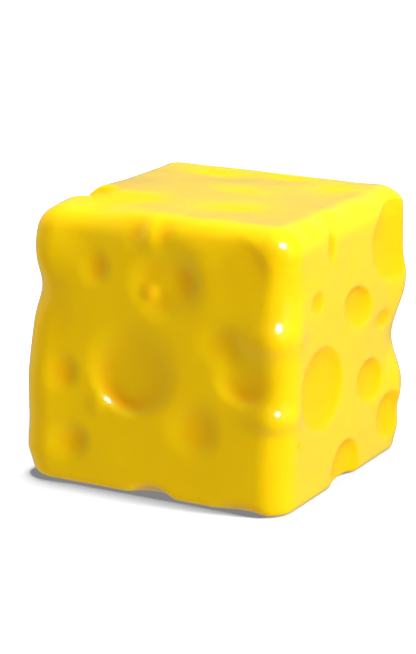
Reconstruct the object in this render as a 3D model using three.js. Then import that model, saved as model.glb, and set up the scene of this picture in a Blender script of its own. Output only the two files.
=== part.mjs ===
// A block of holed cheese: one solid with soft corners and a gently uneven skin, pitted by gas eyes.
// Millimetres, +Z up. It rests on its flat base, and the origin is at the middle of that base.
import * as THREE from "three";
import { mergeVertices } from "three/addons/utils/BufferGeometryUtils.js";

// The plain block, before its swells and eyes.
const WIDTH = 102.6; // along X
const DEPTH = 104.0; // along Y
const HEIGHT = 100.0; // along Z
const UPRIGHT_EDGE_RADIUS = 11.0;
const TOP_EDGE_RADIUS = 10.0;
const BASE_EDGE_RADIUS = 3.2;

// The skin is a grid of squares on each side, and each grid point slides along a line from an inner core.
const SQUARES_PER_SIDE = 28;
const CORE_DEPTH = 26.0; // from each side of the plain block in to the core
const LINE_STRETCH = 1.3; // how far past the plain block a line reaches, as a share of its length
const HALVINGS = 26; // of the stretch of line that holds the skin
const BASE_FADE = 10.0; // swells die away below this height, so that the base stays flat
const MERGE_TOLERANCE = 1e-4;

const COLOUR = 0xf2c811;
const ROUGHNESS = 0.3;
const METALNESS = 0.0;

const X = new THREE.Vector3(1, 0, 0);
const Y = new THREE.Vector3(0, 1, 0);
const Z = new THREE.Vector3(0, 0, 1);
const LOW_CORNER = new THREE.Vector3(-WIDTH / 2, -DEPTH / 2, 0);

// A side of the block: where its measures start, the way they run, and the way it faces.
function side(start, across, up, out) {
  return { start, across, up, out };
}

const SIDES = {
  front: side(LOW_CORNER, X, Z, Y.clone().negate()),
  right: side(new THREE.Vector3(WIDTH / 2, -DEPTH / 2, 0), Y, Z, X),
  back: side(new THREE.Vector3(-WIDTH / 2, DEPTH / 2, 0), X, Z, Y),
  left: side(LOW_CORNER, Y, Z, X.clone().negate()),
  top: side(new THREE.Vector3(-WIDTH / 2, -DEPTH / 2, HEIGHT), X, Y, Z),
  base: side(LOW_CORNER, X, Y, Z.clone().negate()),
};

// The two directions of a hollow's own measures, when they are turned on its side by an angle in degrees.
function turnedAxes(across, up, turn) {
  const angle = THREE.MathUtils.degToRad(turn);
  return {
    long: across.clone().multiplyScalar(Math.cos(angle)).addScaledVector(up, Math.sin(angle)),
    short: across.clone().multiplyScalar(-Math.sin(angle)).addScaledVector(up, Math.cos(angle)),
  };
}

// Eyes are the hollows that gas bubbles leave where the block is cut: shallow bowls sunk into one side. Each
// has a middle and half sizes on that side, a depth, and a turn (degrees). Its lip, the lean of its deepest
// point away from its middle and the width of its floor are shares of its half size. Pits narrower than about
// two squares of the grid are too fine for this solid and are left out of it.
function eye(sideName, at, half, depth, lip = 0.2, turn = 0, lean = [0, 0], floor = 0) {
  const { start, across, up, out } = SIDES[sideName];
  const middle = start.clone().addScaledVector(across, at[0]).addScaledVector(up, at[1]);
  const { long, short } = turnedAxes(across, up, turn);
  return { middle, out, long, short, half, depth, lip, lean, narrowing: 1 - floor };
}

const EYES = [
  eye("front", [56.3, 77.8], [14, 13.5], 3.0, 0.3, 0, [-0.2, -0.25]),
  eye("front", [62, 78.3], [6.5, 7], 1.6, 0.5),
  eye("front", [82, 83], [12.5, 13], 0.9, 0.5, 0, [0.2, 0.3], 0.4),
  eye("front", [78, 58.5], [8, 7.5], 1.7, 0.4, 0, [0.1, 0]),
  eye("front", [86.5, 48], [11, 10], 2.6, 0.3, 0, [-0.1, -0.5]),
  eye("front", [43, 44.5], [16.5, 16.5], 3.6, 0.22, 0, [-0.2, -0.55], 0.15),
  eye("front", [15.2, 41], [6.5, 7], 1.6, 0.4, 0, [0.2, -0.1]),
  eye("front", [18.6, 16], [7.5, 7], 1.7, 0.4, 20, [0.2, -0.1]),
  eye("front", [67.5, 27.3], [9.5, 10], 2.2, 0.35, -10, [0.2, -0.1]),
  eye("front", [27.7, 79.2], [5.5, 6], 1.5, 0.4, 0, [0.2, 0]),
  eye("front", [42.5, 94], [4.5, 6], 1.3, 0.5),
  eye("front", [53.5, 95], [4.5, 6], 1.3, 0.5),
  eye("front", [70, 93.5], [6, 4], 0.6, 0.5),
  eye("front", [11, 62], [7, 14], 0.6, 0.4),
  eye("right", [29, 40], [18.5, 15.5], 1.6, 0.07, -12, [0.1, 0.35], 0.25),
  eye("right", [57.5, 63.5], [12.5, 7.5], 2.0, 0.1, -15, [-0.1, 0.55], 0.1),
  eye("right", [23, 72], [5.5, 4.2], 0.7, 0.2, 8, [0, 0.3]),
  eye("right", [81, 54], [8, 3.8], 0.7, 0.2, 0, [0, 0.3]),
  eye("right", [71, 33], [12, 8.5], 1.7, 0.1, -8, [0, 0.5], 0.1),
  eye("right", [89, 16], [11, 9], 1.5, 0.12, 0, [0, 0.45], 0.15),
  eye("right", [52, 4], [12.5, 12], 2.2, 0.1, -5, [0, 0.5], 0.1),
  eye("right", [88, 82], [21, 15], 1.4, 0.08, 0, [0, 0.3], 0.4),
  eye("top", [31, 85], [15, 8], 0.5, 0.8, -8),
  eye("top", [60, 90], [13, 7], 0.5, 0.8, -8),
  eye("top", [83, 79], [8, 10], 0.4, 0.8),
  eye("top", [26, 26], [16, 9], 0.6, 0.8, 10),
  eye("top", [66, 30], [14, 8], 0.4, 0.8, 25),
  eye("top", [55, 57], [12, 6], 0.3, 0.8, -12),
  eye("top", [7, 32], [10, 9], 2.6, 0.4, 0, [0, 0.4], 0.2),
  eye("left", [38, 60], [15, 13], 1.8, 0.14, 10, [0.1, -0.2], 0.2),
  eye("left", [76, 77], [10, 8], 1.3, 0.15, -20, [0, 0.2]),
  eye("left", [70, 33], [17, 14], 1.6, 0.1, 15, [0.1, 0.1], 0.35),
  eye("left", [26, 25], [7, 8.5], 1.3, 0.25, 0, [-0.2, 0]),
  eye("left", [93, 51], [6, 5], 0.8, 0.25),
  eye("left", [51, 88], [4.5, 5], 0.7, 0.3),
  eye("left", [45, 3], [11, 8], 1.5, 0.12, 0, [0, 0.2], 0.2),
  eye("back", [33, 66], [17, 14.5], 1.9, 0.12, -10, [0.1, 0.15], 0.25),
  eye("back", [75, 37], [14, 13], 2.0, 0.2, 0, [-0.2, -0.2]),
  eye("back", [69, 80], [11, 8], 1.3, 0.15, 15, [0, 0.2]),
  eye("back", [27, 25], [9, 10], 1.5, 0.2, 0, [0, -0.2]),
  eye("back", [50, 16], [6, 6], 0.9, 0.3),
  eye("back", [91, 66], [6, 6.5], 0.9, 0.3),
  eye("back", [10, 89], [5, 4.5], 0.7, 0.3),
];

// Notches are deeper eyes that were cut open at an edge: each is the part of an ellipsoid that dips into one
// side. The lip is how wide its rounding is, in millimetres.
function notch(sideName, at, half, depth, lip, turn = 0) {
  const { start, across, up, out } = SIDES[sideName];
  const middle = start.clone().addScaledVector(across, at[0]).addScaledVector(up, at[1]);
  const { long, short } = turnedAxes(across, up, turn);
  const steepness = depth / Math.sqrt(half[0] * half[1]);
  const raised = (1 - steepness ** 2) / (1 + steepness ** 2); // the ellipsoid's middle above the side
  const opening = Math.sqrt(1 - raised ** 2); // the opening against the ellipsoid's full width
  const inward = depth / (1 - raised);
  const radii = new THREE.Vector3(half[0] / opening, half[1] / opening, inward);
  return { middle, out, long, short, radii, rise: raised * inward, lip };
}

const NOTCHES = [
  notch("front", [51, -2], [8.5, 6], 6, 3),
  notch("front", [86, -2], [10, 5], 3.5, 3),
  notch("back", [45, 0], [9, 6], 4, 3),
  notch("base", [26, 74], [12, 10], 3.6, 3, 20),
  notch("base", [78, 30], [9.5, 8.5], 3.2, 3),
];

// The block's soft unevenness: where it swells (or sinks), how far that spreads, and by how much.
function swell(x, y, z, spread, rise, amount) {
  return { middle: new THREE.Vector3(x, y, z), spread, rise, amount };
}

const SWELLS = [
  swell(-49, -50, 86, 12, 9, 1.0),
  swell(-48, -49, 68.5, 9, 7, -2.9),
  swell(-50, -50, 35, 16, 19, 2.8),
  swell(-49, -49, 9, 12, 11, 2.4),
  swell(45, -51, 63, 9, 5.5, 4.2),
  swell(46, -50, 34.5, 8, 3.8, 3.2),
  swell(50, -50, 96, 10, 8, 0.6),
  swell(50, -50, 79, 9, 7, -1.2),
  swell(50, 50, 84, 14, 14, 2.2),
  swell(50, 50, 64, 11, 9, 2.2),
  swell(50, 50, 45.5, 11, 8, -2.6),
  swell(50, 50, 26, 12, 9, 2.4),
  swell(50, 50, 8, 13, 9, 1.8),
  swell(-50, -40, 99, 12, 9, -0.8),
  swell(-50, 4, 99, 20, 8, -0.7),
  swell(-50, 34, 99, 20, 8, -0.7),
  swell(-31, -54, 100, 14, 15, -7.5),
  swell(-14, -54, 101, 8, 12, -2.5),
  swell(-1, -53, 93, 5, 7, 0.6),
  swell(17, -52, 93, 6, 8, 0.7),
  swell(49, -28, 101, 8, 7, 0.6),
  swell(49, -8, 101, 8, 7, 0.6),
  swell(49, 14, 101, 8, 7, 0.4),
];

// Distance out of the plain rounded block: negative inside it.
function plainBlock(point) {
  const overX = Math.abs(point.x) - WIDTH / 2 + UPRIGHT_EDGE_RADIUS;
  const overY = Math.abs(point.y) - DEPTH / 2 + UPRIGHT_EDGE_RADIUS;
  const corner = Math.hypot(Math.max(overX, 0), Math.max(overY, 0));
  const plan = Math.min(Math.max(overX, overY), 0) + corner - UPRIGHT_EDGE_RADIUS;
  const radius = point.z > HEIGHT / 2 ? TOP_EDGE_RADIUS : BASE_EDGE_RADIUS;
  const overPlan = plan + radius;
  const overZ = Math.abs(point.z - HEIGHT / 2) - HEIGHT / 2 + radius;
  const edge = Math.hypot(Math.max(overPlan, 0), Math.max(overZ, 0));
  return Math.min(Math.max(overPlan, overZ), 0) + edge - radius;
}

// How far the swells move the skin outwards at a point.
function swelling(point) {
  const fade = THREE.MathUtils.clamp(point.z / BASE_FADE, 0, 1);
  let total = 0;
  for (const { middle, spread, rise, amount } of SWELLS) {
    const plan = Math.hypot(point.x - middle.x, point.y - middle.y) / spread;
    const height = (point.z - middle.z) / rise;
    total += amount * Math.exp(-(plan ** 2 + height ** 2));
  }
  return total * fade;
}

// The larger of two distances, with the crease between them rounded over the given width.
function softMax(first, second, width) {
  const overlap = Math.max(width - Math.abs(first - second), 0) / width;
  return Math.max(first, second) + (overlap ** 2 * width) / 4;
}

// How far an eye sinks the skin at a point. The walls come down like a leaning cone with a rounded bottom.
function eyeSink(point, hole) {
  const offset = point.clone().sub(hole.middle);
  const first = offset.dot(hole.long) / hole.half[0];
  const second = offset.dot(hole.short) / hole.half[1];
  const along = hole.narrowing - first * hole.lean[0] - second * hole.lean[1];
  const spare = hole.narrowing ** 2 - hole.lean[0] ** 2 - hole.lean[1] ** 2;
  const inner = along ** 2 - spare * (1 - first ** 2 - second ** 2);
  const cone = (along - Math.sqrt(Math.max(inner, 0))) / spare;
  const descent = THREE.MathUtils.clamp(softMax(cone, 0, hole.lip), 0, 1);
  const fade = Math.exp(-((offset.dot(hole.out) / Math.max(...hole.half)) ** 2));
  return hole.depth * (1 - (1 - descent) ** 2) * fade;
}

// Distance out of a notch's ellipsoid: negative inside the hollow.
function outOfNotch(point, hole) {
  const offset = point.clone().sub(hole.middle);
  const height = offset.dot(hole.out) - hole.rise;
  const scaled = new THREE.Vector3(offset.dot(hole.long), offset.dot(hole.short), height).divide(hole.radii);
  const size = scaled.length();
  const slope = scaled.divide(hole.radii).length();
  return slope > 0 ? (size * (size - 1)) / slope : -hole.radii.z;
}

// Distance out of the finished cheese, cut off flat at its base.
function cheese(point) {
  let distance = plainBlock(point) - swelling(point);
  for (const hole of EYES) {
    distance += eyeSink(point, hole);
  }
  for (const hole of NOTCHES) {
    distance = softMax(distance, -outOfNotch(point, hole), hole.lip);
  }
  return Math.max(distance, -point.z);
}

// The point of the skin on the line from the core through a point of the plain box.
function skinPoint(boxPoint) {
  const reach = new THREE.Vector3(WIDTH / 2 - CORE_DEPTH, DEPTH / 2 - CORE_DEPTH, HEIGHT - CORE_DEPTH);
  const low = new THREE.Vector3(-reach.x, -reach.y, CORE_DEPTH);
  const anchor = boxPoint.clone().clamp(low, reach);
  const line = boxPoint.clone().sub(anchor);
  let inside = 0;
  let outside = LINE_STRETCH;
  for (let halving = 0; halving < HALVINGS; halving += 1) {
    const middle = (inside + outside) / 2;
    if (cheese(anchor.clone().addScaledVector(line, middle)) < 0) {
      inside = middle;
    } else {
      outside = middle;
    }
  }
  return anchor.addScaledVector(line, (inside + outside) / 2);
}

// The skin: a box's grid of squares with every point drawn on to the surface of the cheese.
function cheeseGeometry() {
  const squares = SQUARES_PER_SIDE;
  const box = new THREE.BoxGeometry(WIDTH, DEPTH, HEIGHT, squares, squares, squares);
  box.deleteAttribute("normal");
  box.deleteAttribute("uv");
  box.translate(0, 0, HEIGHT / 2);
  const geometry = mergeVertices(box, MERGE_TOLERANCE);
  const positions = geometry.getAttribute("position");
  for (let index = 0; index < positions.count; index += 1) {
    const point = skinPoint(new THREE.Vector3().fromBufferAttribute(positions, index));
    positions.setXYZ(index, point.x, point.y, Math.max(point.z, 0));
  }
  geometry.computeBoundingBox();
  const middle = geometry.boundingBox.getCenter(new THREE.Vector3());
  geometry.translate(-middle.x, -middle.y, 0);
  geometry.computeVertexNormals();
  return geometry;
}

const paste = new THREE.MeshStandardMaterial({
  color: COLOUR,
  roughness: ROUGHNESS,
  metalness: METALNESS,
});

const cheeseBlock = new THREE.Mesh(cheeseGeometry(), paste);
cheeseBlock.name = "cheese_block";

const group = new THREE.Group();
group.add(cheeseBlock);

export default group;
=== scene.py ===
"""A block of holed cheese on a plain pale studio floor.

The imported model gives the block's place and size. The smooth skin is modelled here: a plain rounded block,
made uneven by soft swells and pitted by gas eyes. Sizes are in millimetres on the block's own sides and are
turned into metres when the mesh is written.
"""

import logging
import math
from dataclasses import dataclass, field
from enum import Enum

import bmesh
import bpy
import numpy as np
from mathutils import Matrix, Vector, noise


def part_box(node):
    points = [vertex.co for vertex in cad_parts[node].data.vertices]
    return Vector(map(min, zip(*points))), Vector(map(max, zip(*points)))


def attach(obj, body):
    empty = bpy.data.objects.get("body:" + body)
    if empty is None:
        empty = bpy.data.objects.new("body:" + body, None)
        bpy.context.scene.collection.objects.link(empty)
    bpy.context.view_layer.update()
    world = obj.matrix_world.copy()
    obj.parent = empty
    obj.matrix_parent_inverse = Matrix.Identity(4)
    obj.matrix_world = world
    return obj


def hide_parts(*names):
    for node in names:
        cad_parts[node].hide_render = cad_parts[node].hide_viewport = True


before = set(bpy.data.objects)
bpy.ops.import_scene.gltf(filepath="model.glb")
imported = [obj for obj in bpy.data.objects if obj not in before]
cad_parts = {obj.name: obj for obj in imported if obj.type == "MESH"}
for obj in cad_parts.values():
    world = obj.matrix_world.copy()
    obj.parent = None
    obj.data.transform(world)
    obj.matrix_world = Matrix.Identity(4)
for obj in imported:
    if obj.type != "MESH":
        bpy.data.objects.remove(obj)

logging.basicConfig(level=logging.INFO, format="%(message)s")
log = logging.getLogger("cheese")

MM = 0.001
NODE = "cheese_block"
BODY = "root"
HOLLOW = "hollow"
CAVITY = "cavity"
LEAST_SLOPE = 1e-9  # keeps a division clear of zero


class Side(Enum):
    """A side of the block: the way its two measures run and the way it faces, then where they start."""

    FRONT = ((1, 0, 0), (0, 0, 1), (0, -1, 0))
    RIGHT = ((0, 1, 0), (0, 0, 1), (1, 0, 0))
    BACK = ((1, 0, 0), (0, 0, 1), (0, 1, 0))
    LEFT = ((0, 1, 0), (0, 0, 1), (-1, 0, 0))
    TOP = ((1, 0, 0), (0, 1, 0), (0, 0, 1))
    BASE = ((1, 0, 0), (0, 1, 0), (0, 0, -1))

    @property
    def across(self) -> np.ndarray:
        """The direction of the side's first measure."""
        return np.array(self.value[0], float)

    @property
    def up(self) -> np.ndarray:
        """The direction of the side's second measure."""
        return np.array(self.value[1], float)

    @property
    def out(self) -> np.ndarray:
        """The direction that the side faces."""
        return np.array(self.value[2], float)


@dataclass(frozen=True)
class PlainBlock:
    """The block before its swells and eyes, standing on z = 0 with its middle on the Z axis."""

    width: float = 102.6
    depth: float = 104.0
    height: float = 100.0
    upright_radius: float = 11.0
    top_radius: float = 10.0
    base_radius: float = 3.2
    core_depth: float = 26.0

    def size(self) -> np.ndarray:
        """The block's three measures."""
        return np.array((self.width, self.depth, self.height))

    def start(self, side: Side) -> np.ndarray:
        """Find where the measures of a side start.

        Args:
            side: The side that is measured.

        Returns:
            The corner of the block from which both measures of the side run.
        """
        low = np.array((-self.width / 2, -self.depth / 2, 0.0))
        return low + np.maximum(side.out, 0) * self.size()

    def outside(self, points: np.ndarray) -> np.ndarray:
        """Measure how far points lie outside the rounded block.

        Args:
            points: One row for each point.

        Returns:
            The distances, negative inside.
        """
        over_x = np.abs(points[:, 0]) - self.width / 2 + self.upright_radius
        over_y = np.abs(points[:, 1]) - self.depth / 2 + self.upright_radius
        corner = np.hypot(np.maximum(over_x, 0), np.maximum(over_y, 0))
        plan = np.minimum(np.maximum(over_x, over_y), 0) + corner - self.upright_radius
        radius = np.where(points[:, 2] > self.height / 2, self.top_radius, self.base_radius)
        over_plan = plan + radius
        over_z = np.abs(points[:, 2] - self.height / 2) - self.height / 2 + radius
        edge = np.hypot(np.maximum(over_plan, 0), np.maximum(over_z, 0))
        return np.minimum(np.maximum(over_plan, over_z), 0) + edge - radius

    def core_points(self, points: np.ndarray) -> np.ndarray:
        """Find the nearest points of the inner core.

        Args:
            points: One row for each point.

        Returns:
            The core's nearest point to each.
        """
        high = self.size() * (0.5, 0.5, 1.0) - self.core_depth
        low = np.array((-high[0], -high[1], self.core_depth))
        return np.clip(points, low, high)


def soft_max(first: np.ndarray, second: np.ndarray, width: float) -> np.ndarray:
    """Take the larger of two distances, with the crease between them rounded.

    Args:
        first: One distance for each point.
        second: The other distance for each point.
        width: How wide the rounding is.

    Returns:
        The rounded maximum.
    """
    overlap = np.maximum(width - np.abs(first - second), 0) / width
    return np.maximum(first, second) + overlap**2 * width / 4


@dataclass(frozen=True)
class Swell:
    """A soft rise, or with a negative amount a soft sink, round one point of the block.

    Its spread is how far it reaches level, and its rise how far it reaches up and down.
    """

    middle: tuple[float, float, float]
    spread: float
    rise: float
    amount: float

    def push(self, points: np.ndarray) -> np.ndarray:
        """Say how far the swell moves the skin outwards.

        Args:
            points: One row for each point.

        Returns:
            The outward movement at each point.
        """
        offset = points - np.array(self.middle)
        plan = (offset[:, 0] ** 2 + offset[:, 1] ** 2) / self.spread**2
        return self.amount * np.exp(-(plan + (offset[:, 2] / self.rise) ** 2))


@dataclass(frozen=True)
class Hollow:
    """A hollow that opens on one side of the block.

    Its middle, half sizes and turn, in degrees, are measured on that side.
    """

    side: Side
    at: tuple[float, float]
    half: tuple[float, float]
    depth: float
    lip: float
    turn: float = 0.0

    def middle(self, block: PlainBlock) -> np.ndarray:
        """Find the middle of the opening.

        Args:
            block: The block that the hollow is in.

        Returns:
            The middle, on the plain block's side.
        """
        return block.start(self.side) + self.at[0] * self.side.across + self.at[1] * self.side.up

    def axes(self) -> tuple[np.ndarray, np.ndarray]:
        """Turn the side's two directions by the hollow's own turn.

        Returns:
            The directions of the two half sizes.
        """
        across, up = self.side.across, self.side.up
        angle = math.radians(self.turn)
        long = math.cos(angle) * across + math.sin(angle) * up
        short = math.cos(angle) * up - math.sin(angle) * across
        return long, short


@dataclass(frozen=True)
class Eye(Hollow):
    """A gas eye sliced open by one side: a shallow bowl whose deepest point may lie off its middle.

    Its lip, the lean of its deepest point and the width of its floor are shares of its half sizes.
    """

    lean: tuple[float, float] = (0.0, 0.0)
    floor: float = 0.0

    def sink(self, points: np.ndarray, block: PlainBlock) -> np.ndarray:
        """Say how far the eye sinks the skin.

        Args:
            points: One row for each point.
            block: The block that the eye is in.

        Returns:
            The depth of the bowl at each point.
        """
        long, short = self.axes()
        offset = points - self.middle(block)
        first, second = offset @ long / self.half[0], offset @ short / self.half[1]
        # The wall comes down from the rim to the deepest point as a leaning cone, with both ends rounded.
        narrowing = 1 - self.floor
        along = narrowing - first * self.lean[0] - second * self.lean[1]
        spare = narrowing**2 - self.lean[0] ** 2 - self.lean[1] ** 2
        inner = along**2 - spare * (1 - first**2 - second**2)
        cone = (along - np.sqrt(np.maximum(inner, 0))) / spare
        descent = np.clip(soft_max(cone, np.zeros(len(points)), self.lip), 0, 1)
        fade = np.exp(-((offset @ self.side.out / max(self.half)) ** 2))
        return self.depth * (1 - (1 - descent) ** 2) * fade


@dataclass(frozen=True)
class Notch(Hollow):
    """A deep gas eye that was cut open at an edge: the part of an ellipsoid that dips into one side.

    Its lip is the width, in millimetres, over which its rim is rounded.
    """

    def reach(self) -> float:
        """How far from its middle the notch can change the skin."""
        return max(self.half) + self.lip + self.depth

    def outside(self, points: np.ndarray, block: PlainBlock) -> np.ndarray:
        """Measure how far points lie outside the notch's ellipsoid.

        Args:
            points: One row for each point.
            block: The block that the notch is in.

        Returns:
            The distances, negative in the hollow.
        """
        long, short = self.axes()
        steepness = self.depth / math.sqrt(self.half[0] * self.half[1])
        raised = (1 - steepness**2) / (1 + steepness**2)
        opening = math.sqrt(1 - raised**2)
        inward = self.depth / (1 - raised)
        radii = np.array((self.half[0] / opening, self.half[1] / opening, inward))
        offset = points - self.middle(block)
        height = offset @ self.side.out - raised * inward
        place = np.stack((offset @ long, offset @ short, height), axis=1)
        size = np.linalg.norm(place / radii, axis=1)
        slope = np.linalg.norm(place / radii**2, axis=1)
        return size * (size - 1) / np.maximum(slope, LEAST_SLOPE)


FRONT_EYES = (
    Eye(Side.FRONT, (56.3, 77.8), (14, 13.5), 3.0, 0.3, 0, (-0.2, -0.25)),
    Eye(Side.FRONT, (62, 78.3), (6.5, 7), 1.6, 0.5),
    Eye(Side.FRONT, (82, 83), (12.5, 13), 0.9, 0.5, 0, (0.2, 0.3), 0.4),
    Eye(Side.FRONT, (78, 58.5), (8, 7.5), 1.7, 0.4, 0, (0.1, 0)),
    Eye(Side.FRONT, (86.5, 48), (11, 10), 2.6, 0.3, 0, (-0.1, -0.5)),
    Eye(Side.FRONT, (43, 44.5), (16.5, 16.5), 3.6, 0.22, 0, (-0.2, -0.55), 0.15),
    Eye(Side.FRONT, (15.2, 41), (6.5, 7), 1.6, 0.4, 0, (0.2, -0.1)),
    Eye(Side.FRONT, (18.6, 16), (7.5, 7), 1.7, 0.4, 20, (0.2, -0.1)),
    Eye(Side.FRONT, (67.5, 27.3), (9.5, 10), 2.2, 0.35, -10, (0.2, -0.1)),
    Eye(Side.FRONT, (27.7, 79.2), (5.5, 6), 1.5, 0.4, 0, (0.2, 0)),
    Eye(Side.FRONT, (42.5, 94), (4.5, 6), 1.3, 0.5),
    Eye(Side.FRONT, (53.5, 95), (4.5, 6), 1.3, 0.5),
    Eye(Side.FRONT, (70, 93.5), (6, 4), 0.6, 0.5),
    Eye(Side.FRONT, (11, 62), (7, 14), 0.6, 0.4),
)

RIGHT_EYES = (
    Eye(Side.RIGHT, (29, 40), (18.5, 15.5), 1.6, 0.07, -12, (0.1, 0.35), 0.25),
    Eye(Side.RIGHT, (57.5, 63.5), (12.5, 7.5), 2.0, 0.1, -15, (-0.1, 0.55), 0.1),
    Eye(Side.RIGHT, (23, 72), (5.5, 4.2), 0.7, 0.2, 8, (0, 0.3)),
    Eye(Side.RIGHT, (81, 54), (8, 3.8), 0.7, 0.2, 0, (0, 0.3)),
    Eye(Side.RIGHT, (71, 33), (12, 8.5), 1.7, 0.1, -8, (0, 0.5), 0.1),
    Eye(Side.RIGHT, (89, 16), (11, 9), 1.5, 0.12, 0, (0, 0.45), 0.15),
    Eye(Side.RIGHT, (52, 4), (12.5, 12), 2.2, 0.1, -5, (0, 0.5), 0.1),
    Eye(Side.RIGHT, (9.5, 60), (1.4, 1.2), 0.5, 0.3),
    Eye(Side.RIGHT, (11.5, 24), (1.4, 1.5), 0.6, 0.3),
    Eye(Side.RIGHT, (88, 82), (21, 15), 1.4, 0.08, 0, (0, 0.3), 0.4),
    Eye(Side.RIGHT, (33, 90), (3.2, 6.5), 0.6, 0.25),
)

TOP_EYES = (
    Eye(Side.TOP, (31, 85), (15, 8), 0.5, 0.8, -8),
    Eye(Side.TOP, (60, 90), (13, 7), 0.5, 0.8, -8),
    Eye(Side.TOP, (83, 79), (8, 10), 0.4, 0.8),
    Eye(Side.TOP, (26, 26), (16, 9), 0.6, 0.8, 10),
    Eye(Side.TOP, (66, 30), (14, 8), 0.4, 0.8, 25),
    Eye(Side.TOP, (55, 57), (12, 6), 0.3, 0.8, -12),
    Eye(Side.TOP, (7, 32), (10, 9), 2.6, 0.4, 0, (0, 0.4), 0.2),
)

LEFT_EYES = (
    Eye(Side.LEFT, (38, 60), (15, 13), 1.8, 0.14, 10, (0.1, -0.2), 0.2),
    Eye(Side.LEFT, (76, 77), (10, 8), 1.3, 0.15, -20, (0, 0.2)),
    Eye(Side.LEFT, (70, 33), (17, 14), 1.6, 0.1, 15, (0.1, 0.1), 0.35),
    Eye(Side.LEFT, (26, 25), (7, 8.5), 1.3, 0.25, 0, (-0.2, 0)),
    Eye(Side.LEFT, (93, 51), (6, 5), 0.8, 0.25),
    Eye(Side.LEFT, (51, 88), (4.5, 5), 0.7, 0.3),
    Eye(Side.LEFT, (45, 3), (11, 8), 1.5, 0.12, 0, (0, 0.2), 0.2),
)

BACK_EYES = (
    Eye(Side.BACK, (33, 66), (17, 14.5), 1.9, 0.12, -10, (0.1, 0.15), 0.25),
    Eye(Side.BACK, (75, 37), (14, 13), 2.0, 0.2, 0, (-0.2, -0.2)),
    Eye(Side.BACK, (69, 80), (11, 8), 1.3, 0.15, 15, (0, 0.2)),
    Eye(Side.BACK, (27, 25), (9, 10), 1.5, 0.2, 0, (0, -0.2)),
    Eye(Side.BACK, (50, 16), (6, 6), 0.9, 0.3),
    Eye(Side.BACK, (91, 66), (6, 6.5), 0.9, 0.3),
    Eye(Side.BACK, (10, 89), (5, 4.5), 0.7, 0.3),
)

NOTCHES = (
    Notch(Side.FRONT, (51, -2), (8.5, 6), 6, 3),
    Notch(Side.FRONT, (86, -2), (10, 5), 3.5, 3),
    Notch(Side.BACK, (45, 0), (9, 6), 4, 3),
    Notch(Side.BASE, (26, 74), (12, 10), 3.6, 3, 20),
    Notch(Side.BASE, (78, 30), (9.5, 8.5), 3.2, 3),
)

SWELLS = (
    Swell((-49, -50, 86), 12, 9, 1.0),
    Swell((-48, -49, 68.5), 9, 7, -2.9),
    Swell((-50, -50, 35), 16, 19, 2.8),
    Swell((-49, -49, 9), 12, 11, 2.4),
    Swell((45, -51, 63), 9, 5.5, 4.2),
    Swell((46, -50, 34.5), 8, 3.8, 3.2),
    Swell((-22, -51, 30.5), 3, 3, 1.2),
    Swell((-2.4, -51, 73.2), 2.8, 2.8, 2.0),
    Swell((50, -50, 96), 10, 8, 0.6),
    Swell((50, -50, 79), 9, 7, -1.2),
    Swell((50, 50, 84), 14, 14, 2.2),
    Swell((50, 50, 64), 11, 9, 2.2),
    Swell((50, 50, 45.5), 11, 8, -2.6),
    Swell((50, 50, 26), 12, 9, 2.4),
    Swell((50, 50, 8), 13, 9, 1.8),
    Swell((-50, -40, 99), 12, 9, -0.8),
    Swell((-50, 4, 99), 20, 8, -0.7),
    Swell((-50, 34, 99), 20, 8, -0.7),
    Swell((-31, -54, 100), 14, 15, -7.5),
    Swell((-14, -54, 101), 8, 12, -2.5),
    Swell((-1, -53, 93), 5, 7, 0.6),
    Swell((17, -52, 93), 6, 8, 0.7),
    Swell((49, -28, 101), 8, 7, 0.6),
    Swell((49, -8, 101), 8, 7, 0.6),
    Swell((49, 14, 101), 8, 7, 0.4),
)


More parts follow.
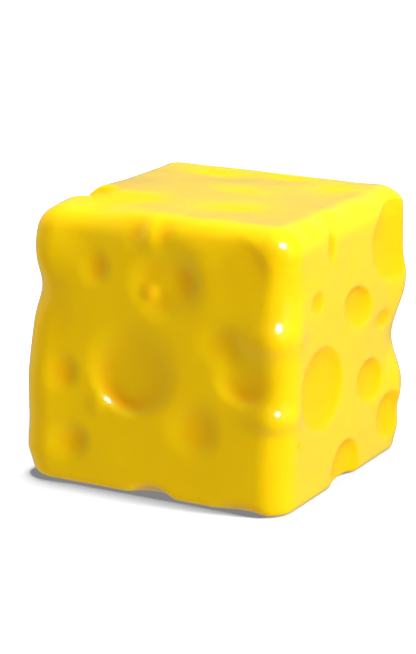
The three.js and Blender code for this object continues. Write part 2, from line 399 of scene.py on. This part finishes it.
@dataclass
class CheeseBlock:
    """The block of cheese: its plain form, its swells, eyes and notches, and the mesh that they make."""

    block: PlainBlock = field(default_factory=PlainBlock)
    swells: tuple[Swell, ...] = SWELLS
    eyes: tuple[Eye, ...] = FRONT_EYES + RIGHT_EYES + TOP_EYES + LEFT_EYES + BACK_EYES
    notches: tuple[Notch, ...] = NOTCHES
    cuts_per_side: int = 127
    line_stretch: float = 1.3
    halvings: int = 24
    base_fade: float = 10.0
    eye_margin: float = 14.0
    unevenness: tuple[tuple[float, float], ...] = ((28.0, 0.45), (12.0, 0.16), (5.0, 0.03))
    full_hollow: float = 0.4
    full_cavity: float = 1.1
    cavity_rounds: int = 60

    def build(self) -> bpy.types.Object:
        """Model the block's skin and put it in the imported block's place.

        Returns:
            The finished object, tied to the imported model.
        """
        form = bmesh.new()
        bmesh.ops.create_cube(form, size=1.0)
        bmesh.ops.subdivide_edges(form, edges=form.edges[:], cuts=self.cuts_per_side, use_grid_fill=True)
        bmesh.ops.translate(form, verts=form.verts[:], vec=(0, 0, 0.5))
        bmesh.ops.scale(form, verts=form.verts[:], vec=self.block.size())
        cube = np.array([vertex.co[:] for vertex in form.verts])
        skin = self.skin_points(cube)
        shares = {HOLLOW: self.hollow(skin), CAVITY: self.cavity(form, skin)}
        layers = {name: form.verts.layers.float.new(name) for name in shares}
        for row, (vertex, point) in enumerate(zip(form.verts, self.fitted(skin))):
            vertex.co = point
            for name, layer in layers.items():
                vertex[layer] = shares[name][row]
        mesh = bpy.data.meshes.new("cheese_skin")
        form.to_mesh(mesh)
        form.free()
        mesh.shade_smooth()
        piece = bpy.data.objects.new("cheese_skin", mesh)
        bpy.context.scene.collection.objects.link(piece)
        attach(piece, BODY)
        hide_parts(NODE)
        piece.visible_diffuse = False  # no yellow light falls into the soft shadow
        eye_count = len(self.eyes) + len(self.notches)
        log.info("cheese_skin: %d faces, %d eyes", len(mesh.polygons), eye_count)
        return piece

    def skin_points(self, cube: np.ndarray) -> np.ndarray:
        """Slide each point of the plain box along a line from the core until it meets the skin.

        Args:
            cube: The points of the plain box.

        Returns:
            The points of the skin.
        """
        anchors = self.block.core_points(cube)
        lines = cube - anchors
        roughness = self.lumps(cube)
        near_eyes = [self.points_near(eye.middle(self.block), max(eye.half), cube) for eye in self.eyes]
        near_notches = [self.points_near(cut.middle(self.block), cut.reach(), cube) for cut in self.notches]
        inside = np.zeros(len(cube))
        beyond = np.full(len(cube), self.line_stretch)
        for _ in range(self.halvings):
            middle = (inside + beyond) / 2
            points = anchors + lines * middle[:, None]
            is_inside = self.outside(points, roughness, near_eyes, near_notches) < 0
            inside = np.where(is_inside, middle, inside)
            beyond = np.where(is_inside, beyond, middle)
        return anchors + lines * ((inside + beyond) / 2)[:, None]

    def hollow(self, skin: np.ndarray) -> np.ndarray:
        """Say how far each point of the skin lies inside one of the eyes off the front side, where shade and
        a dimmed reflection are painted.

        Args:
            skin: The points of the skin.

        Returns:
            Shares from 0, outside them, to 1.
        """
        depth = sum(eye.sink(skin, self.block) for eye in self.eyes if eye.side is not Side.FRONT)
        return np.clip(depth / self.full_hollow, 0, 1)

    def cavity(self, form: bmesh.types.BMesh, skin: np.ndarray) -> np.ndarray:
        """Say how far each point of the skin lies below the skin round it, where the paste is painted darker
        as shade.

        Args:
            form: The mesh that joins the points.
            skin: The points of the skin.

        Returns:
            Shares from 0, on open skin, to 1 in the narrow deep places.
        """
        ends = np.array([[vertex.index for vertex in edge.verts] for edge in form.edges])
        near, far = np.concatenate((ends, ends[:, ::-1])).T
        count = np.bincount(near, minlength=len(skin))
        depth = -self.uncut(skin)
        level = depth
        for _ in range(self.cavity_rounds):
            level = (level + np.bincount(near, level[far], len(skin)) / count) / 2
        return np.clip((depth - level) / self.full_cavity, 0, 1)

    def points_near(self, middle: np.ndarray, reach: float, cube: np.ndarray) -> np.ndarray:
        """Pick the points of the box that an eye or a notch may move.

        Args:
            middle: The middle of the eye or notch.
            reach: How far it can change the skin.
            cube: The points of the plain box.

        Returns:
            The rows of the points.
        """
        distance = np.linalg.norm(cube - middle, axis=1)
        return np.nonzero(distance < reach + self.eye_margin)[0]

    def lumps(self, points: np.ndarray) -> np.ndarray:
        """Work out the skin's fine unevenness.

        Args:
            points: One row for each point.

        Returns:
            The outward movement at each point.
        """
        total = np.zeros(len(points))
        for length, height in self.unevenness:
            values = [noise.noise(Vector(point) / length) for point in points]
            total += height * np.array(values)
        return total

    def fade(self, points: np.ndarray) -> np.ndarray:
        """Say how much of the swelling each point takes, so that the base stays flat."""
        return np.clip(points[:, 2] / self.base_fade, 0, 1)

    def uncut(self, points: np.ndarray) -> np.ndarray:
        """Measure how far points lie outside the swollen block, before its eyes and notches."""
        push = sum(swell.push(points) for swell in self.swells)
        return self.block.outside(points) - self.fade(points) * push

    def outside(
        self,
        points: np.ndarray,
        roughness: np.ndarray,
        near_eyes: list[np.ndarray],
        near_notches: list[np.ndarray],
    ) -> np.ndarray:
        """Measure how far points lie outside the finished cheese.

        Args:
            points: One row for each point.
            roughness: The outward movement of each point's skin by fine unevenness.
            near_eyes: For each eye, the rows of the points that it may move.
            near_notches: For each notch, the rows of the points that it may move.

        Returns:
            The distances, negative inside the cheese.
        """
        distance = self.uncut(points) - self.fade(points) * roughness
        for eye, rows in zip(self.eyes, near_eyes):
            distance[rows] += eye.sink(points[rows], self.block)
        for notch, rows in zip(self.notches, near_notches):
            hollow = -notch.outside(points[rows], self.block)
            distance[rows] = soft_max(distance[rows], hollow, notch.lip)
        return np.maximum(distance, -points[:, 2])

    def fitted(self, skin: np.ndarray) -> np.ndarray:
        """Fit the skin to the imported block's box.

        Args:
            skin: The points of the skin, in millimetres.

        Returns:
            The points in metres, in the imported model's frame.
        """
        low, high = (np.array(corner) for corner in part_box(NODE))
        skin_low, skin_high = skin.min(axis=0), skin.max(axis=0)
        return low + (skin - skin_low) / (skin_high - skin_low) * (high - low)


@dataclass(frozen=True)
class PasteFinish:
    """The glossy, slightly translucent yellow paste of the cheese.

    A pair of values is for the open skin and for the insides of the eyes off the front side, where dropping
    the coat is a painted dimming of their reflection.
    The hollow and cavity colours are painted shade: the eyes and the narrow deep places are coloured darker
    and more orange.
    """

    pale: tuple[float, float, float] = (0.95, 0.595, 0.0005)
    deep: tuple[float, float, float] = (0.95, 0.56, 0.0005)
    # painted shade: the insides of the eyes are coloured darker and more orange
    hollow_painted_shade: tuple[float, float, float] = (0.95, 0.49, 0.0005)
    # painted shade: the narrow deep places are coloured darker and more orange
    cavity_painted_shade: tuple[float, float, float] = (1.0, 0.41, 0.0005)
    base_specular: float = 0.15
    coat_roughness: float = 0.1
    coat: tuple[float, float] = (1.0, 0.0)
    roughness: tuple[float, float] = (0.28, 0.4)
    translucency: float = 0.3
    scatter: tuple[float, float, float] = (5.0, 2.0, 0.5)
    refraction: float = 1.45
    tone_scale: float = 35.0
    skin_scale: float = 420.0
    skin_depth: float = 0.06
    cloud_detail: float = 3.0

    def material(self) -> bpy.types.Material:
        """Make the paste's material.

        Returns:
            The material.
        """
        paste = bpy.data.materials.new("cheese_paste")
        paste.use_nodes = True
        nodes, links = paste.node_tree.nodes, paste.node_tree.links
        shader = nodes["Principled BSDF"]
        shader.inputs["Subsurface Weight"].default_value = self.translucency
        shader.inputs["Subsurface Radius"].default_value = [length * MM for length in self.scatter]
        shader.inputs["Subsurface Scale"].default_value = 1.0
        shader.inputs["IOR"].default_value = self.refraction
        shader.inputs["Specular IOR Level"].default_value = self.base_specular
        shader.inputs["Coat Roughness"].default_value = self.coat_roughness
        place = nodes.new("ShaderNodeTexCoord")
        tone = self.clouds(nodes, links, place, self.tone_scale)
        hollow = self.share(nodes, HOLLOW)
        cavity = self.share(nodes, CAVITY)
        colour = self.blend(nodes, links, tone, self.pale, self.deep)
        # painted shade inside the eyes
        colour = self.blend(nodes, links, hollow, colour, self.hollow_painted_shade)
        # painted shade in the narrow deep places
        colour = self.blend(nodes, links, cavity, colour, self.cavity_painted_shade)
        links.new(colour, shader.inputs["Base Color"])
        # in the eyes the coat is dropped as a painted dimming of their reflection, and the roughness rises
        for name, (outside, inside) in (("Coat Weight", self.coat), ("Roughness", self.roughness)):
            spread = nodes.new("ShaderNodeMapRange")
            spread.inputs["To Min"].default_value = outside
            spread.inputs["To Max"].default_value = inside
            links.new(hollow, spread.inputs["Value"])
            links.new(spread.outputs["Result"], shader.inputs[name])
        grain = self.clouds(nodes, links, place, self.skin_scale)
        bump = nodes.new("ShaderNodeBump")
        bump.inputs["Strength"].default_value = 1.0
        bump.inputs["Distance"].default_value = self.skin_depth * MM
        links.new(grain, bump.inputs["Height"])
        for name in ("Normal", "Coat Normal"):
            links.new(bump.outputs["Normal"], shader.inputs[name])
        return paste

    def clouds(
        self,
        nodes: bpy.types.Nodes,
        links: bpy.types.NodeLinks,
        place: bpy.types.Node,
        scale: float,
    ) -> bpy.types.NodeSocket:
        """Make soft random clouds that are fixed to the block.

        Args:
            nodes: The material's nodes.
            links: The material's links.
            place: The node that gives the place on the block.
            scale: How many clouds there are to a metre.

        Returns:
            The socket that holds the clouds' value.
        """
        cloud = nodes.new("ShaderNodeTexNoise")
        cloud.inputs["Scale"].default_value = scale
        cloud.inputs["Detail"].default_value = self.cloud_detail
        links.new(place.outputs["Object"], cloud.inputs["Vector"])
        return cloud.outputs["Fac"]

    def share(self, nodes: bpy.types.Nodes, name: str) -> bpy.types.NodeSocket:
        """Read one of the shares that are stored on the skin's points.

        Args:
            nodes: The material's nodes.
            name: The share's name.

        Returns:
            The socket that holds the share.
        """
        reader = nodes.new("ShaderNodeAttribute")
        reader.attribute_name = name
        return reader.outputs["Fac"]

    def blend(
        self,
        nodes: bpy.types.Nodes,
        links: bpy.types.NodeLinks,
        share: bpy.types.NodeSocket,
        start: bpy.types.NodeSocket | tuple[float, float, float],
        end: tuple[float, float, float],
    ) -> bpy.types.NodeSocket:
        """Blend from one colour to another.

        Args:
            nodes: The material's nodes.
            links: The material's links.
            share: How much of the second colour there is.
            start: The first colour, given or from a socket.
            end: The second colour.

        Returns:
            The socket that holds the blended colour.
        """
        mix = nodes.new("ShaderNodeMix")
        mix.data_type = "RGBA"
        links.new(share, mix.inputs["Factor"])
        if isinstance(start, tuple):
            mix.inputs["A"].default_value = (*start, 1.0)
        else:
            links.new(start, mix.inputs["A"])
        mix.inputs["B"].default_value = (*end, 1.0)
        return mix.outputs["Result"]


@dataclass(frozen=True)
class Lamp:
    """A round soft light that shines on one thing only.

    Its brightness is how strongly it lights a surface that faces it, where 1 makes a white surface white. A
    glint is only seen mirrored; every other lamp only lights.
    """

    name: str
    direction: tuple[float, float, float]
    distance: float
    width: float
    brightness: float
    tint: tuple[float, float, float] = (1.0, 1.0, 1.0)
    is_glint: bool = False

    def hang(self, target: bpy.types.Object, aim: Vector) -> bpy.types.Object:
        """Hang the light.

        Args:
            target: The one object that it lights.
            aim: The point that it faces.

        Returns:
            The light.
        """
        data = bpy.data.lights.new(self.name, "AREA")
        data.shape = "DISK"
        data.size = self.width
        data.color = self.tint
        data.energy = self.brightness * (math.pi * self.distance) ** 2
        light = bpy.data.objects.new(self.name, data)
        direction = Vector(self.direction).normalized()
        light.location = aim + direction * self.distance
        light.rotation_euler = direction.to_track_quat("Z", "Y").to_euler()
        light.visible_glossy = self.is_glint
        light.visible_diffuse = not self.is_glint
        bpy.context.scene.collection.objects.link(light)
        lit = bpy.data.collections.new(f"lit_by_{self.name}")
        lit.objects.link(target)
        light.light_linking.receiver_collection = lit
        return light


@dataclass(frozen=True)
class FloorSun:
    """A far, soft light on the floor alone."""

    name: str
    direction: tuple[float, float, float]
    width_degrees: float
    brightness: float

    def hang(self, floor: bpy.types.Object) -> bpy.types.Object:
        """Hang the light.

        Args:
            floor: The floor.

        Returns:
            The light.
        """
        data = bpy.data.lights.new(self.name, "SUN")
        data.angle = math.radians(self.width_degrees)
        data.energy = self.brightness * math.pi
        light = bpy.data.objects.new(self.name, data)
        light.rotation_euler = Vector(self.direction).to_track_quat("Z", "Y").to_euler()
        bpy.context.scene.collection.objects.link(light)
        lit = bpy.data.collections.new(f"lit_by_{self.name}")
        lit.objects.link(floor)
        light.light_linking.receiver_collection = lit
        return light


@dataclass(frozen=True)
class Glow:
    """How bright the surroundings are: a middle value, and how fast it grows along each axis."""

    middle: float
    growth: tuple[float, float, float]


@dataclass
class Studio:
    """The plain pale floor, the soft lights and the pale surroundings."""

    floor_size: float = 8.0
    floor_white: float = 0.9
    floor_roughness: float = 0.9
    cheese_lamps: tuple[Lamp, ...] = (
        Lamp("glint_light", (0.56, -0.34, 0.755), 1.2, 0.55, 1.8, is_glint=True),
        Lamp("key_light", (0.56, -0.34, 0.755), 1.2, 0.4, 0.45, (0.95, 1.0, 1.0)),
        Lamp("right_light", (0.9, -0.15, 0.2), 1.3, 1.0, 1.1, (0.9, 1.0, 1.0)),
        Lamp("left_light", (-0.95, 0.0, 0.1), 1.3, 1.0, 0.85),
        Lamp("top_light", (0.0, 0.3, 0.95), 1.3, 1.0, 1.3, (0.93, 1.0, 1.0)),
        Lamp("low_light", (0.0, -0.5, -0.85), 1.3, 1.2, 0.45),
    )
    floor_suns: tuple[FloorSun, ...] = (
        FloorSun("high_sun", (-0.05, 0.05, 1.0), 12.0, 0.9),
        FloorSun("right_sun", (1.0, 0.35, 0.6), 20.0, 1.7),
    )
    diffuse_glow: Glow = Glow(0.25, (0.0, 0.0, 0.0))
    mirrored_glow: Glow = Glow(0.155, (0.0, 0.155, 0.0))

    def build(self, piece: bpy.types.Object) -> None:
        """Make the floor, the lights and the surroundings.

        Args:
            piece: The block of cheese.
        """
        bpy.context.scene.view_settings.view_transform = "Standard"
        floor = self.floor()
        low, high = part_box(NODE)
        middle = (low + high) / 2
        for lamp in self.cheese_lamps:
            lamp.hang(piece, middle)
        for sun in self.floor_suns:
            sun.hang(floor)
        self.surroundings()
        log.info("studio: %d lights", len(self.cheese_lamps) + len(self.floor_suns))

    def floor(self) -> bpy.types.Object:
        """Make the floor, a broad sheet that the block stands on.

        Returns:
            The floor.
        """
        form = bmesh.new()
        bmesh.ops.create_grid(form, x_segments=2, y_segments=2, size=self.floor_size / 2)
        mesh = bpy.data.meshes.new("studio_floor")
        form.to_mesh(mesh)
        form.free()
        floor = bpy.data.objects.new("studio_floor", mesh)
        bpy.context.scene.collection.objects.link(floor)
        card = bpy.data.materials.new("white_card")
        card.use_nodes = True
        shader = card.node_tree.nodes["Principled BSDF"]
        shader.inputs["Base Color"].default_value = (*[self.floor_white] * 3, 1.0)
        shader.inputs["Roughness"].default_value = self.floor_roughness
        shader.inputs["Specular IOR Level"].default_value = 0.0
        mesh.materials.append(card)
        floor.visible_diffuse = False  # the floor is only looked at: it neither lights nor shades the block
        floor.visible_glossy = False
        floor.visible_transmission = False
        floor.visible_shadow = False
        return floor

    def surroundings(self) -> None:
        """Make the surroundings: white to look at, with one glow that lights and one that is mirrored."""
        world = bpy.data.worlds.new("studio")
        world.use_nodes = True
        world.cycles.sampling_method = "NONE"
        bpy.context.scene.world = world
        nodes, links = world.node_tree.nodes, world.node_tree.links
        direction = nodes.new("ShaderNodeTexCoord")
        path = nodes.new("ShaderNodeLightPath")
        strength = self.glow_value(nodes, links, direction, self.diffuse_glow)
        mirrored = self.glow_value(nodes, links, direction, self.mirrored_glow)
        for ray, value in (("Is Glossy Ray", mirrored), ("Is Camera Ray", None)):
            chosen = nodes.new("ShaderNodeMix")
            chosen.data_type = "FLOAT"
            chosen.inputs["B"].default_value = 1.0
            links.new(path.outputs[ray], chosen.inputs["Factor"])
            links.new(strength, chosen.inputs["A"])
            if value is not None:
                links.new(value, chosen.inputs["B"])
            strength = chosen.outputs["Result"]
        nodes["Background"].inputs["Color"].default_value = (1.0, 1.0, 1.0, 1.0)
        links.new(strength, nodes["Background"].inputs["Strength"])

    def glow_value(
        self,
        nodes: bpy.types.Nodes,
        links: bpy.types.NodeLinks,
        direction: bpy.types.Node,
        glow: Glow,
    ) -> bpy.types.NodeSocket:
        """Work out a glow from the direction that is looked in.

        Args:
            nodes: The world's nodes.
            links: The world's links.
            direction: The node that gives the direction.
            glow: The glow.

        Returns:
            The socket that holds its brightness.
        """
        growth = nodes.new("ShaderNodeVectorMath")
        growth.operation = "DOT_PRODUCT"
        growth.inputs[1].default_value = glow.growth
        links.new(direction.outputs["Generated"], growth.inputs[0])
        total = nodes.new("ShaderNodeMath")
        total.operation = "ADD"
        total.inputs[1].default_value = glow.middle
        links.new(growth.outputs["Value"], total.inputs[0])
        lit = nodes.new("ShaderNodeMath")
        lit.operation = "MAXIMUM"
        lit.inputs[1].default_value = 0.0
        links.new(total.outputs["Value"], lit.inputs[0])
        return lit.outputs["Value"]


@dataclass(frozen=True)
class StudioCamera:
    """A long-lens camera at the front, a little to the right and a little above the block."""

    azimuth: float = 26.6
    elevation: float = 14.68
    roll: float = 1.48
    distance: float = 900.0
    aim: tuple[float, float, float] = (-3.61, -1.77, 50.13)
    lens: float = 137.23
    film: float = 36.0

    def build(self) -> bpy.types.Object:
        """Make the camera and give it to the scene.

        Returns:
            The camera.
        """
        turn, tilt = math.radians(self.azimuth), math.radians(self.elevation)
        right = Vector((math.cos(turn), math.sin(turn), 0))
        back = Vector((math.sin(turn) * math.cos(tilt), -math.cos(turn) * math.cos(tilt), math.sin(tilt)))
        axes = Matrix((right, back.cross(right), back)).transposed()
        data = bpy.data.cameras.new("studio_camera")
        data.sensor_width = self.film
        data.lens = self.lens
        camera = bpy.data.objects.new("studio_camera", data)
        roll = Matrix.Rotation(math.radians(self.roll), 3, "Z")
        camera.matrix_world = (axes @ roll).to_4x4()
        camera.location = (Vector(self.aim) + back * self.distance) * MM
        bpy.context.scene.collection.objects.link(camera)
        bpy.context.scene.camera = camera
        return camera


def main() -> None:
    """Build the block and the studio round it."""
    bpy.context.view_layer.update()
    StudioCamera().build()
    cheese = CheeseBlock().build()
    cheese.data.materials.append(PasteFinish().material())
    Studio().build(cheese)


if __name__ == "__main__":
    main()
